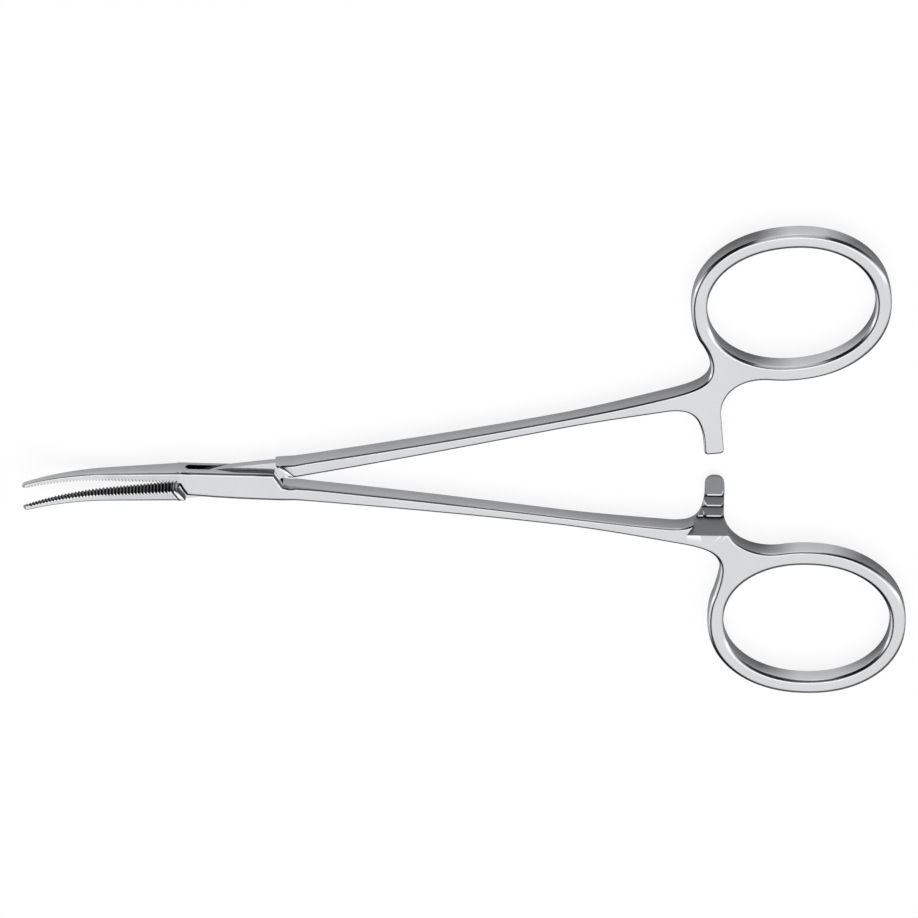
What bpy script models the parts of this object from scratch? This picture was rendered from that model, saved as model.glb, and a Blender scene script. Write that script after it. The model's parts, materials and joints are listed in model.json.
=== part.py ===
"""Curved mosquito haemostatic forceps, 125 mm, with a box lock and a three-step ratchet.

The instrument is two forged halves and one rivet pin. The box half is slotted, and the thin tongue
of the other half runs through its slot and turns on the pin. Each half is drawn in its own frame:
the pin's axis is Z, +X runs to the finger ring, the shank lies at +Y and the jaw at -Y. The box half
is then turned over about X, so both shanks, rings and ratchet bars come from one outline.
"""

import math

import bmesh
import bpy
from mathutils import Matrix, Vector

MM = 0.001

# Pose: the halves stand open by this angle, counted from where the jaw tips touch.
REST_OPENING = math.radians(5.8)

# Box lock
BOX_THICKNESS = 3.6 * MM
BOX_INNER_EDGE = 2.0 * MM
BOX_CROWN = 0.42 * MM
TONGUE_THICKNESS = 1.36 * MM
TONGUE_CLEARANCE = 0.07 * MM
PIN_RADIUS = 1.1 * MM
PIN_RUNNING_GAP = 0.05 * MM
PIN_SEAT_GAP = 0.02 * MM
PIN_BELOW_FLUSH = 0.01 * MM
PIN_SIDES = 32
# The slot is milled with a rounded end, this far from the pin
SLOT_END = 5.44 * MM

# Shank: width in the ring plane and thickness along Z
SHANK_START = (9.5 * MM, 1.32 * MM)
SHANK_START_SLOPE = 0.085
SHANK_END_SLOPE = 0.128
SHANK_HANDLE = 18.0 * MM
SHANK_BOX_WIDTH = 2.12 * MM
SHANK_WAIST_WIDTH = 1.45 * MM
SHANK_NECK_WIDTH = 2.25 * MM
SHANK_WAIST_SHARE = 0.71
SHANK_BOX_THICKNESS = 3.2 * MM
SHANK_WAIST_THICKNESS = 2.75 * MM
SHANK_CROWN = 0.2 * MM

# Finger ring: an oval bar bent into an egg-like loop
RING_REACH = 84.2 * MM
RING_ANGLE = math.radians(14.05)
RING_HALF_LENGTH = 12.95 * MM
RING_HALF_WIDTH = 10.1 * MM
RING_BAR_WIDTH = 2.3 * MM
RING_THICKNESS = 3.4 * MM
RING_CROWN = 0.62 * MM
RING_POWER = 2.12
RING_TILT = math.radians(1.5)
# The ring's outer edge runs free between these two angles; fillets lead to the bar and the shank
RING_FIRST_ANGLE = math.radians(-104)
RING_LAST_ANGLE = math.radians(198)
NECK_INSET = 1.77 * MM
NECK_RISE = 3.2 * MM
# The two rings are not quite alike: each sits a little off the mirrored place along its arm
TONGUE_RING_SHIFT = -0.55 * MM
BOX_RING_SHIFT = 0.45 * MM

# Ratchet
BAR_BEFORE_RING = 0.38 * MM
BAR_WIDTH = 2.8 * MM
BAR_OVERLAP = 1.2 * MM
BAR_THICKNESS = 3.2 * MM
BAR_END_ROUND = 1.0 * MM
BAR_FILLET_HEIGHT = 4.3 * MM
RING_FILLET_DROP = 5.0 * MM
# The least straight length of the bar's sides below its fillets
BAR_LEAST_SIDE = 0.1 * MM
BAR_CROWN = 0.34 * MM
FIRST_CATCH_Y = 1.47 * MM
TOOTH_PITCH = 1.64 * MM
TOOTH_COUNT = 3
TOOTH_DEPTH = 0.5 * MM
TOOTH_CLEARANCE = 0.08 * MM
TOOTH_CHAMFER = 0.4 * MM
SAW_BEFORE_BAR = 3.2 * MM
BAR_RAMP = 1.96 * MM

# Jaws
JAW_ROOT = 6.7 * MM
JAW_STRAIGHT = 16.9 * MM
JAW_CURVE_RADIUS = 23.5 * MM
JAW_CURVE_ANGLE = math.radians(31.0)
JAW_ROOT_WIDTH = 3.54 * MM
JAW_TIP_WIDTH = 0.78 * MM
JAW_ROOT_HEIGHT = 1.72 * MM
JAW_TIP_HEIGHT = 0.55 * MM
JAW_TIP_ROUND = 0.55 * MM
JAW_BASE_GAP = 0.5 * MM
JAW_TIP_GAP = 0.04 * MM
SERRATION_START = 8.9 * MM
SERRATION_PITCH = 0.48 * MM
SERRATION_DEPTH = 0.2 * MM

# Levels of the rounded edge: share of the half thickness, share of the crown taken off there
EDGE_LEVELS = ((-1.0, 1.0), (-0.86, 0.42), (-0.5, 0.1), (0.5, 0.1), (0.86, 0.42), (1.0, 1.0))

TONGUE_HALF = TONGUE_THICKNESS / 2
SLOT_HALF = TONGUE_HALF + TONGUE_CLEARANCE
RING_CENTRE = (RING_REACH * math.cos(RING_ANGLE), RING_REACH * math.sin(RING_ANGLE))
RING_LEFT = RING_CENTRE[0] - RING_HALF_LENGTH - RING_BAR_WIDTH / 2
RING_BOTTOM = RING_CENTRE[1] - RING_HALF_WIDTH - RING_BAR_WIDTH / 2
BAR_LEFT = RING_LEFT - BAR_BEFORE_RING
BAR_RIGHT = BAR_LEFT + BAR_WIDTH
SHANK_END = (BAR_LEFT - 4.7 * MM, RING_BOTTOM - 2.2 * MM)
SHANK_WAIST_X = SHANK_START[0] + (SHANK_END[0] - SHANK_START[0]) * SHANK_WAIST_SHARE
LAST_CATCH_Y = FIRST_CATCH_Y + TOOTH_PITCH * (TOOTH_COUNT - 1)
JAW_LENGTH = JAW_STRAIGHT + JAW_CURVE_RADIUS * JAW_CURVE_ANGLE

STEEL = (0.62, 0.63, 0.64, 1.0)
BEYOND = 1.5 * MM


def mm(*pairs):
    """Points given in millimetres, as metres."""
    return [(x * MM, y * MM) for x, y in pairs]


# Corners of the box lock in the ring plane, in each half's own frame
JAW_ROOT_CORNER = mm((-8.0, -1.62), (-7.7, -1.9))
TONGUE_LEFT_CORNER = mm((-5.55, 1.8), (-5.9, 1.25), (-7.2, -0.28), (-8.0, -0.36))
TONGUE_RIGHT_CORNER = mm((6.1, -1.35), (7.45, -0.02), (8.5, 0.28))
TONGUE_SHOULDERS = mm((-8.9, 1.9), (-5.55, -3.1), (9.5, -3.1), (9.5, -0.75), (6.1, 3.0), (-8.9, 3.0))
BOX_LEFT_CORNER = mm((-5.95, 1.78), (-6.4, 1.25), (-7.3, -0.28), (-8.0, -0.36))
BOX_RIGHT_CORNER = mm((6.45, -1.8), (7.7, 0.14), (8.7, 0.38))
SLOT_OUTLINE = mm((-5.8, -3.2), (-5.8, -2.0), (-6.25, -1.3), (-7.45, 0.0), (-9.0, 0.3), (-9.0, 3.2),
                  (5.8, 3.2), (5.8, 2.0), (6.25, 1.3), (7.75, 0.0), (9.0, 0.0), (9.0, -3.2))


def cubic(corners, t):
    """A point of a cubic curve."""
    u = 1.0 - t
    weights = (u * u * u, 3 * u * u * t, 3 * u * t * t, t * t * t)
    return tuple(sum(w * c[axis] for w, c in zip(weights, corners)) for axis in (0, 1))


def bezier(start, handle_a, handle_b, end, count):
    """Points of a cubic curve, without its last one."""
    return [cubic((start, handle_a, handle_b, end), step / count) for step in range(count)]


def straight(start, end, count):
    """Points of a straight line, without its last one."""
    return bezier(start, start, end, end, count)


def ring_point(angle, outward, shift):
    """A point of the finger ring, at a distance from the middle line of its bar."""
    cosine = math.cos(angle)
    sine = math.sin(angle)
    power = 2.0 / RING_POWER
    along = math.copysign(abs(cosine) ** power, cosine) * (RING_HALF_LENGTH + outward)
    across = math.copysign(abs(sine) ** power, sine) * (RING_HALF_WIDTH + outward)
    turned_x = along * math.cos(RING_TILT) - across * math.sin(RING_TILT)
    turned_y = along * math.sin(RING_TILT) + across * math.cos(RING_TILT)
    return (RING_CENTRE[0] + shift + turned_x, RING_CENTRE[1] + turned_y)


def shank_centre(share):
    """The shank's middle line, from the box (0) to the neck of the ring (1)."""
    start = SHANK_START
    end = SHANK_END
    handle_a = (start[0] + SHANK_HANDLE, start[1] + SHANK_HANDLE * SHANK_START_SLOPE)
    handle_b = (end[0] - SHANK_HANDLE, end[1] - SHANK_HANDLE * SHANK_END_SLOPE)
    return cubic((start, handle_a, handle_b, end), share)


def shank_width(x):
    """Width in the ring plane: it narrows from the box to a waist and widens to the neck."""
    if x < SHANK_WAIST_X:
        share = (SHANK_WAIST_X - x) / (SHANK_WAIST_X - SHANK_START[0])
        return SHANK_WAIST_WIDTH + (SHANK_BOX_WIDTH - SHANK_WAIST_WIDTH) * share ** 1.3
    share = (x - SHANK_WAIST_X) / (SHANK_END[0] - SHANK_WAIST_X)
    return SHANK_WAIST_WIDTH + (SHANK_NECK_WIDTH - SHANK_WAIST_WIDTH) * share ** 2


def ease(value, start, end):
    """Smooth step from 0 at start to 1 at end."""
    share = min(1.0, max(0.0, (value - start) / (end - start)))
    return share * share * (3 - 2 * share)


def thickness(x):
    """Thickness along Z: box, shank, waist, ratchet and ring run into each other."""
    value = BOX_THICKNESS + (SHANK_BOX_THICKNESS - BOX_THICKNESS) * ease(x, 7.6 * MM, 12.5 * MM)
    value += (SHANK_WAIST_THICKNESS - SHANK_BOX_THICKNESS) * ease(x, 12.5 * MM, SHANK_WAIST_X)
    value += (BAR_THICKNESS - SHANK_WAIST_THICKNESS) * ease(x, SHANK_WAIST_X, SHANK_END[0])
    value += (RING_THICKNESS - BAR_THICKNESS) * ease(x, BAR_RIGHT, BAR_RIGHT + 6 * MM)
    return value


def crown(x, y):
    """How far the edges are rounded back at the faces."""
    value = BOX_CROWN + (SHANK_CROWN - BOX_CROWN) * ease(x, 7 * MM, 12 * MM)
    value += (BAR_CROWN - SHANK_CROWN) * ease(x, SHANK_END[0] - 6 * MM, BAR_LEFT)
    value += (RING_CROWN - BAR_CROWN) * ease(y, RING_BOTTOM - 1 * MM, RING_BOTTOM + 3.3 * MM)
    return value


def shank_edge(side, shares):
    """One edge of the shank, at shares of its length."""
    step = 0.001
    points = []
    for share in shares:
        x, y = shank_centre(share)
        ahead = shank_centre(min(1.0, share + step))
        behind = shank_centre(max(0.0, share - step))
        dx = ahead[0] - behind[0]
        dy = ahead[1] - behind[1]
        length = math.hypot(dx, dy)
        half = shank_width(x) / 2 * side
        points.append((x - dy / length * half, y + dx / length * half))
    return points


def arm_outline(box_left_corner, box_right_corner, ring_shift):
    """Outline of one half without its jaw, counterclockwise, in the half's own frame."""
    shares = [i / 11 for i in range(12)]
    outer_radius = RING_BAR_WIDTH / 2
    points = []
    # Under the box, from the jaw root to the inner corner where the slot or the shoulder starts
    points += JAW_ROOT_CORNER
    points += bezier((-7.2 * MM, -BOX_INNER_EDGE), (-3 * MM, -1.93 * MM), (1 * MM, -1.86 * MM),
                     (5.6 * MM, -1.9 * MM), 6)
    points += box_right_corner
    # Inner edge of the shank
    inner = shank_edge(-1, shares)
    points += inner
    # Left fillet of the ratchet bar, the bar and its rounded end
    bar_end = -BAR_OVERLAP
    bar_round = BAR_END_ROUND
    straight_y = bar_end + bar_round
    root_y = inner[-1][1]
    # Where the ring comes nearer to the middle, the bar's wall limits its fillets
    fillet_y = max(root_y - BAR_FILLET_HEIGHT, straight_y + BAR_LEAST_SIDE)
    points += bezier(inner[-1], (BAR_LEFT - 1.3 * MM, root_y + 0.1 * MM),
                     (BAR_LEFT - 0.3 * MM, root_y - 1.0 * MM), (BAR_LEFT, fillet_y), 9)[1:]
    points += straight((BAR_LEFT, fillet_y), (BAR_LEFT, straight_y), 3)
    points += bezier((BAR_LEFT, straight_y), (BAR_LEFT, bar_end + 0.4 * bar_round),
                     (BAR_LEFT + 0.4 * bar_round, bar_end), (BAR_LEFT + bar_round, bar_end), 5)
    points += bezier((BAR_RIGHT - bar_round, bar_end), (BAR_RIGHT - 0.4 * bar_round, bar_end),
                     (BAR_RIGHT, bar_end + 0.4 * bar_round), (BAR_RIGHT, straight_y), 5)
    rise_y = max(RING_BOTTOM - RING_FILLET_DROP, straight_y + BAR_LEAST_SIDE)
    points += straight((BAR_RIGHT, straight_y), (BAR_RIGHT, rise_y), 4)
    # Right fillet, up to the ring
    first = RING_FIRST_ANGLE
    last = RING_LAST_ANGLE
    joint = ring_point(first, outer_radius, ring_shift)
    points += bezier((BAR_RIGHT, rise_y), (BAR_RIGHT, rise_y + 4.0 * MM),
                     (joint[0] - 4.4 * MM, joint[1] + 0.85 * MM), joint, 10)
    # Round the ring
    count = 56
    for i in range(count + 1):
        points.append(ring_point(first + (last - first) * i / count, outer_radius, ring_shift))
    # The neck, and the outer edge of the shank back to the box
    leave = ring_point(last, outer_radius, ring_shift)
    outer = shank_edge(1, shares)
    neck_x = RING_LEFT + NECK_INSET + ring_shift / 2
    neck_y = RING_BOTTOM + NECK_RISE
    points += bezier(leave, (neck_x - 0.4 * MM, neck_y + 2.5 * MM), (neck_x, neck_y + 1.3 * MM),
                     (neck_x, neck_y), 4)[1:]
    points += bezier((neck_x, neck_y), (neck_x, neck_y - 2.7 * MM),
                     (neck_x - 1.9 * MM, neck_y - 3.45 * MM), outer[-1], 9)
    points += reversed(outer)
    points += bezier((7.4 * MM, 2.42 * MM), (3.0 * MM, 2.34 * MM), (-1.5 * MM, 2.2 * MM),
                     box_left_corner[0], 6)
    points += box_left_corner
    return points


def finger_hole(ring_shift):
    """The hole in the ring, clockwise."""
    count = 60
    inward = -RING_BAR_WIDTH / 2
    return [ring_point(-2 * math.pi * i / count, inward, ring_shift) for i in range(count)]


def inset_loop(points, shares):
    """Moves each point square to the outline, into the metal, by the crown there times a share."""
    moved = []
    count = len(points)
    for i, (x, y) in enumerate(points):
        before = points[i - 1]
        after = points[(i + 1) % count]
        dx = after[0] - before[0]
        dy = after[1] - before[1]
        length = math.hypot(dx, dy)
        depth = crown(x, y) * shares
        moved.append((x - dy / length * depth, y + dx / length * depth))
    return moved


def add_object(name, bm, collection):
    """A new object from a bmesh."""
    mesh = bpy.data.meshes.new(name)
    bm.to_mesh(mesh)
    bm.free()
    obj = bpy.data.objects.new(name, mesh)
    collection.objects.link(obj)
    return obj


def crowned_plate(name, loops, collection):
    """A plate with rounded edges: each outline is drawn at every level of the edge and skinned."""
    bm = bmesh.new()
    rims = {EDGE_LEVELS[0]: [], EDGE_LEVELS[-1]: []}
    for loop in loops:
        rings = []
        for level in EDGE_LEVELS:
            height, share = level
            ring = []
            for (x, y), (px, py) in zip(loop, inset_loop(loop, share)):
                ring.append(bm.verts.new((px, py, thickness(x) / 2 * height)))
            rings.append(ring)
        for low, high in zip(rings, rings[1:]):
            for i in range(len(low)):
                j = (i + 1) % len(low)
                bm.faces.new((low[i], low[j], high[j], high[i]))
        for level, ring in ((EDGE_LEVELS[0], rings[0]), (EDGE_LEVELS[-1], rings[-1])):
            for i in range(len(ring)):
                rims[level].append(bm.edges.get((ring[i], ring[(i + 1) % len(ring)])))
    for edges in rims.values():
        bmesh.ops.triangle_fill(bm, use_beauty=True, edges=edges)
    bmesh.ops.recalc_face_normals(bm, faces=bm.faces)
    return add_object(name, bm, collection)


def jaw_path(distance, side):
    """Place and direction of the jaw's middle line, at a distance from the pin along the jaw."""
    if distance <= JAW_STRAIGHT:
        return Vector((-distance, 0, 0)), 0.0
    angle = (distance - JAW_STRAIGHT) / JAW_CURVE_RADIUS
    x = -JAW_STRAIGHT - JAW_CURVE_RADIUS * math.sin(angle)
    z = JAW_CURVE_RADIUS * (1 - math.cos(angle)) * side
    return Vector((x, 0, z)), angle * side


def jaw_section(distance):
    """Half of the D-shaped section: shares of the width and of the height below the serrated face."""
    profile = ((0.5, 0.0), (0.505, 0.3), (0.495, 0.62), (0.452, 0.85), (0.31, 0.965), (0.0, 1.02))
    share = (JAW_LENGTH - distance) / (JAW_LENGTH - JAW_ROOT)
    width = JAW_TIP_WIDTH + (JAW_ROOT_WIDTH - JAW_TIP_WIDTH) * share
    height = JAW_TIP_HEIGHT + (JAW_ROOT_HEIGHT - JAW_TIP_HEIGHT) * share
    left = JAW_LENGTH - distance
    if left < JAW_TIP_ROUND:
        fall = math.sqrt(max(0.0, 1 - (1 - left / JAW_TIP_ROUND) ** 2))
        width *= 0.3 + 0.7 * fall
        height *= 0.45 + 0.55 * fall
    gap = JAW_TIP_GAP + (JAW_BASE_GAP - JAW_TIP_GAP) * share
    right = [(w * width, -gap / 2 - h * height) for w, h in profile]
    mirrored = [(-w, h) for w, h in reversed(right[:-1])]
    return right + mirrored


def jaw_stations():
    """Distances along the jaw, each with the depth of the serration there."""
    stations = [(JAW_ROOT, 0.0), ((JAW_ROOT + SERRATION_START) / 2, 0.0), (SERRATION_START, 0.0)]
    reach = JAW_LENGTH - JAW_TIP_ROUND - SERRATION_START
    count = int(reach / SERRATION_PITCH)
    for i in range(count):
        crest = SERRATION_START + SERRATION_PITCH * i
        stations.append((crest + SERRATION_PITCH / 2, SERRATION_DEPTH))
        stations.append((crest + SERRATION_PITCH, 0.0))
    end = stations[-1][0]
    for share in (0.35, 0.65, 0.85, 0.96, 1.0):
        stations.append((end + (JAW_LENGTH - end) * share, 0.0))
    return stations


def jaw(name, side, collection):
    """A serrated jaw: D-shaped sections skinned along its curve."""
    bm = bmesh.new()
    rings = []
    for distance, depth in jaw_stations():
        place, angle = jaw_path(distance, side)
        section = jaw_section(distance)
        taper = min(1.0, 0.35 + 0.65 * (JAW_LENGTH - distance) / (JAW_LENGTH - JAW_ROOT))
        ring = []
        for i, (across, y) in enumerate(section):
            if i in (0, len(section) - 1):
                y -= depth * taper
            ring.append(bm.verts.new((place.x + across * math.sin(angle),
                                      y, place.z + across * math.cos(angle))))
        rings.append(ring)
    for near, far in zip(rings, rings[1:]):
        for i in range(len(near)):
            j = (i + 1) % len(near)
            bm.faces.new((near[i], near[j], far[j], far[i]))
    bm.faces.new(rings[0])
    bm.faces.new(rings[-1])
    bmesh.ops.triangulate(bm, faces=bm.faces)
    bmesh.ops.recalc_face_normals(bm, faces=bm.faces)
    return add_object(name, bm, collection)


def prism(name, outline, low, high, collection, turn=None):
    """A straight prism over an outline, from low to high, as a cutter."""
    bm = bmesh.new()
    verts = [bm.verts.new((x, y, low)) for x, y in outline]
    face = bm.faces.new(verts)
    grown = bmesh.ops.extrude_face_region(bm, geom=[face])
    moved = [item for item in grown["geom"] if isinstance(item, bmesh.types.BMVert)]
    bmesh.ops.translate(bm, verts=moved, vec=(0, 0, high - low))
    bmesh.ops.recalc_face_normals(bm, faces=bm.faces)
    if turn is not None:
        bmesh.ops.transform(bm, matrix=turn, verts=bm.verts)
    obj = add_object(name, bm, collection)
    obj.hide_render = True
    obj.display_type = "WIRE"
    return obj


def cylinder(name, radius, length, collection):
    """A cylinder on the pin's axis."""
    bm = bmesh.new()
    bmesh.ops.create_cone(bm, cap_ends=True, segments=PIN_SIDES, radius1=radius, radius2=radius,
                          depth=length)
    return add_object(name, bm, collection)


def add_boolean(obj, other, operation):
    """One exact boolean, applied at once."""
    modifier = obj.modifiers.new(operation.title(), "BOOLEAN")
    modifier.operation = operation
    modifier.object = other
    modifier.solver = "EXACT"
    bpy.context.view_layer.update()
    result = bpy.data.meshes.new_from_object(obj.evaluated_get(bpy.context.evaluated_depsgraph_get()))
    obj.modifiers.clear()
    obj.data = result


def ratchet_cutter(name, collection):
    """What is cut away behind the ratchet bar: a saw profile drawn in Y and Z, run along X."""
    behind = -RING_THICKNESS
    crest = TOOTH_CLEARANCE
    valley = TOOTH_CLEARANCE + TOOTH_DEPTH
    # The profile's first value is the height Z, its second the place Y
    profile = [(behind, -BAR_OVERLAP - BEYOND), (valley, -BAR_OVERLAP - BEYOND), (valley, -BAR_OVERLAP)]
    for tooth in range(TOOTH_COUNT):
        catch = FIRST_CATCH_Y + TOOTH_PITCH * tooth
        profile.append((crest, catch))
        profile.append((valley, catch))
    profile.append((behind, LAST_CATCH_Y + BAR_RAMP * (valley - behind) / (BAR_THICKNESS / 2 + valley)))
    # Local X becomes world Z, local Y stays, local Z becomes world -X
    turn = Matrix(((0, 0, -1, 0), (0, 1, 0, 0), (1, 0, 0, 0), (0, 0, 0, 1)))
    return prism(name, profile, -(BAR_RIGHT + BEYOND), -(BAR_LEFT - SAW_BEFORE_BAR), collection, turn)


def ratchet_chamfer(name, edge, inward, collection):
    """The sloped side of the ratchet teeth along one edge of the bar."""
    crest = TOOTH_CLEARANCE
    size = TOOTH_CHAMFER
    outer = edge - inward * BEYOND
    # Drawn in X and Z, run along -Y
    outline = [(outer, crest - size), (edge + inward * size, crest - size),
               (edge + inward * size, crest - 0.02 * MM), (edge, crest + size * 1.4),
               (outer, crest + size * 1.4)]
    turn = Matrix(((1, 0, 0, 0), (0, 0, -1, 0), (0, 1, 0, 0), (0, 0, 0, 1)))
    return prism(name, outline, -LAST_CATCH_Y - 0.1 * MM, BAR_OVERLAP + BEYOND, collection, turn)


def cut_ratchet(half, cutters):
    """Gives a half its three ratchet teeth."""
    saw = ratchet_cutter(half.name + "_saw", cutters)
    add_boolean(half, saw, "DIFFERENCE")
    for edge, inward, label in ((BAR_LEFT, 1, "left"), (BAR_RIGHT, -1, "right")):
        chamfer = ratchet_chamfer(half.name + "_chamfer_" + label, edge, inward, cutters)
        add_boolean(half, chamfer, "DIFFERENCE")


def build_tongue_half(collection, cutters):
    """The half whose thin tongue runs through the box: lower jaw, upper shank and ring."""
    outline = arm_outline(TONGUE_LEFT_CORNER, TONGUE_RIGHT_CORNER, TONGUE_RING_SHIFT)
    loops = [outline, finger_hole(TONGUE_RING_SHIFT)]
    half = crowned_plate("tongue_half", loops, collection)
    blade = jaw("tongue_half_jaw", 1, cutters)
    add_boolean(half, blade, "UNION")
    for label, low, high in (("front", TONGUE_HALF, BOX_THICKNESS), ("back", -BOX_THICKNESS, -TONGUE_HALF)):
        space = prism("box_wall_space_" + label, TONGUE_SHOULDERS, low, high, cutters)
        add_boolean(half, space, "DIFFERENCE")
    bore = cylinder("tongue_bore", PIN_RADIUS + PIN_RUNNING_GAP, BOX_THICKNESS, cutters)
    add_boolean(half, bore, "DIFFERENCE")
    cut_ratchet(half, cutters)
    return half


def build_box_half(collection, cutters):
    """The slotted half: upper jaw, lower shank and ring. It is drawn turned over about X."""
    outline = arm_outline(BOX_LEFT_CORNER, BOX_RIGHT_CORNER, BOX_RING_SHIFT)
    loops = [outline, finger_hole(BOX_RING_SHIFT)]
    half = crowned_plate("box_half", loops, collection)
    blade = jaw("box_half_jaw", -1, cutters)
    add_boolean(half, blade, "UNION")
    space = prism("tongue_slot", SLOT_OUTLINE, -SLOT_HALF, SLOT_HALF, cutters)
    add_boolean(half, space, "DIFFERENCE")
    end = cylinder("tongue_slot_end", SLOT_HALF - 0.005 * MM, BOX_INNER_EDGE, cutters)
    end.data.transform(Matrix.Translation((-SLOT_END, -BOX_INNER_EDGE * 1.2, 0))
                       @ Matrix.Rotation(math.pi / 2, 4, "X"))
    add_boolean(half, end, "DIFFERENCE")
    bore = cylinder("box_bore", PIN_RADIUS + PIN_SEAT_GAP, BOX_THICKNESS * 2, cutters)
    add_boolean(half, bore, "DIFFERENCE")
    cut_ratchet(half, cutters)
    half.data.transform(Matrix.Rotation(math.pi, 4, "X"))
    return half


def steel(name, roughness):
    """Satin stainless steel."""
    material = bpy.data.materials.new(name)
    material.use_nodes = True
    shader = material.node_tree.nodes["Principled BSDF"]
    shader.inputs["Base Color"].default_value = STEEL
    shader.inputs["Metallic"].default_value = 1.0
    shader.inputs["Roughness"].default_value = roughness
    return material


def finish(obj, material):
    """Merges stray doubles, shades the round faces smooth and gives the object its steel."""
    bm = bmesh.new()
    bm.from_mesh(obj.data)
    bmesh.ops.remove_doubles(bm, verts=bm.verts, dist=0.000002)
    bmesh.ops.dissolve_degenerate(bm, dist=0.000001, edges=bm.edges)
    bmesh.ops.triangulate(bm, faces=bm.faces)
    bm.to_mesh(obj.data)
    bm.free()
    obj.data.shade_smooth()
    obj.data.set_sharp_from_angle(angle=math.radians(30))
    obj.data.materials.clear()
    obj.data.materials.append(material)


def clear_scene():
    """Removes what the start-up file holds."""
    for obj in list(bpy.data.objects):
        bpy.data.objects.remove(obj)


def main():
    clear_scene()
    scene_collection = bpy.context.scene.collection
    parts = bpy.data.collections.new("mosquito_forceps")
    cutters = bpy.data.collections.new("cutters")
    scene_collection.children.link(parts)
    scene_collection.children.link(cutters)

    tongue_half = build_tongue_half(parts, cutters)
    box_half = build_box_half(parts, cutters)
    pin = cylinder("pivot_pin", PIN_RADIUS, BOX_THICKNESS - 2 * PIN_BELOW_FLUSH, parts)
    finish(tongue_half, steel("satin_steel_tongue_half", 0.32))
    finish(box_half, steel("satin_steel_box_half", 0.32))
    finish(pin, steel("satin_steel_pin", 0.35))

    for cutter in cutters.objects:
        cutter.hide_render = True
        cutter.display_type = "WIRE"

    # The pin's axis carries both halves, turned apart by the resting opening
    axis = bpy.data.objects.new("pin_axis", None)
    parts.objects.link(axis)
    for half, side in ((tongue_half, 1), (box_half, -1)):
        half.parent = axis
        half.rotation_euler = (0, 0, side * REST_OPENING / 2)
    pin.parent = axis
    bpy.context.view_layer.update()

    # The origin of the part is the middle of the box that holds it, on the surface it lies on
    corners = [obj.matrix_world @ vertex.co for obj in (tongue_half, box_half, pin)
               for vertex in obj.data.vertices]
    low = [min(corner[i] for corner in corners) for i in range(3)]
    high = [max(corner[i] for corner in corners) for i in range(3)]
    axis.location = (-(low[0] + high[0]) / 2, -(low[1] + high[1]) / 2, -low[2])
    bpy.context.view_layer.update()


main()
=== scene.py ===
"""Curved mosquito forceps in satin steel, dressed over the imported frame.

Each half is modelled in its own frame, with the pin's axis as Z, +X to the finger ring, the shank at
+Y and the jaw at -Y. It is then turned to its place, so every finished object stays at the origin.
"""

import json
import math

import bmesh
import bpy
from mathutils import Matrix, Vector


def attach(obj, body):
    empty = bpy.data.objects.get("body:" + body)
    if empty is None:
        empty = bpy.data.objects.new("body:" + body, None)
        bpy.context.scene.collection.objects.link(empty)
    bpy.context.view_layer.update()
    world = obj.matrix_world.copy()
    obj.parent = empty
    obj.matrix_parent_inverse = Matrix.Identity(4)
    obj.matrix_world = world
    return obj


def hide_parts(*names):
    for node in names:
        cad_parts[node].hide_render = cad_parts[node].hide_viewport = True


bl_info = {
    "name": "Mosquito forceps",
    "version": (1, 0, 0),
    "blender": (4, 5, 0),
    "location": "View3D > Sidebar > Forceps",
    "description": "Builds curved locking forceps with a box lock, and the studio round them",
    "category": "Add Mesh",
}

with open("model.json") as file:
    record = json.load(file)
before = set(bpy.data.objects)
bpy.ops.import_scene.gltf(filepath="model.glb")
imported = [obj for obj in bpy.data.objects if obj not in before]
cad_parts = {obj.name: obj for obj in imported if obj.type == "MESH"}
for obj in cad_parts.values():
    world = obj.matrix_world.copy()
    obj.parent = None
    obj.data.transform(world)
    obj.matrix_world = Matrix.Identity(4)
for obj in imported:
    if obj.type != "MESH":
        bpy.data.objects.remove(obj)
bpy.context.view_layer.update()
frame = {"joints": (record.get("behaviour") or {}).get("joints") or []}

MM = 0.001
# Keeps a cut or an end from lying exactly in a face
HAIR = 0.01 * MM
PIN_PLACE = Vector(frame["joints"][0]["pos_m"])

# Box lock
BOX_THICKNESS = 3.6 * MM
BOX_INNER_EDGE = 2.0 * MM
BOX_CROWN = 0.5 * MM
TONGUE_HALF = 0.68 * MM
SLOT_HALF = 0.75 * MM
PIN_RADIUS = 1.1 * MM
PIN_RUNNING_GAP = 0.05 * MM
PIN_SEAT_GAP = 0.004 * MM
PIN_BELOW_FLUSH = 0.002 * MM
SLOT_END = 5.44 * MM
# Where the box runs out into the shank: its thickness, and the crown of its edges
BOX_TAPER = (7.6 * MM, 12.5 * MM)
BOX_CROWN_TAPER = (7 * MM, 12 * MM)

# Shank
SHANK_START = (9.5 * MM, 1.32 * MM)
SHANK_START_SLOPE = 0.085
SHANK_END_SLOPE = 0.128
SHANK_HANDLE = 18.0 * MM
SHANK_BOX_WIDTH = 2.12 * MM
SHANK_WAIST_WIDTH = 1.45 * MM
SHANK_NECK_WIDTH = 2.25 * MM
SHANK_WAIST_SHARE = 0.71
SHANK_BOX_THICKNESS = 3.2 * MM
SHANK_WAIST_THICKNESS = 2.75 * MM
SHANK_CROWN = 0.36 * MM

# Finger ring
RING_REACH = 84.2 * MM
RING_ANGLE = math.radians(14.05)
RING_HALF_LENGTH = 12.95 * MM
RING_HALF_WIDTH = 10.1 * MM
RING_BAR_WIDTH = 2.3 * MM
RING_THICKNESS = 3.4 * MM
RING_CROWN = 0.58 * MM
RING_POWER = 2.12
RING_TILT = math.radians(1.5)
RING_FIRST_ANGLE = math.radians(-104)
RING_LAST_ANGLE = math.radians(198)
NECK_INSET = 1.77 * MM
NECK_RISE = 3.2 * MM
TONGUE_RING_SHIFT = -0.55 * MM
BOX_RING_SHIFT = 0.45 * MM

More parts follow.
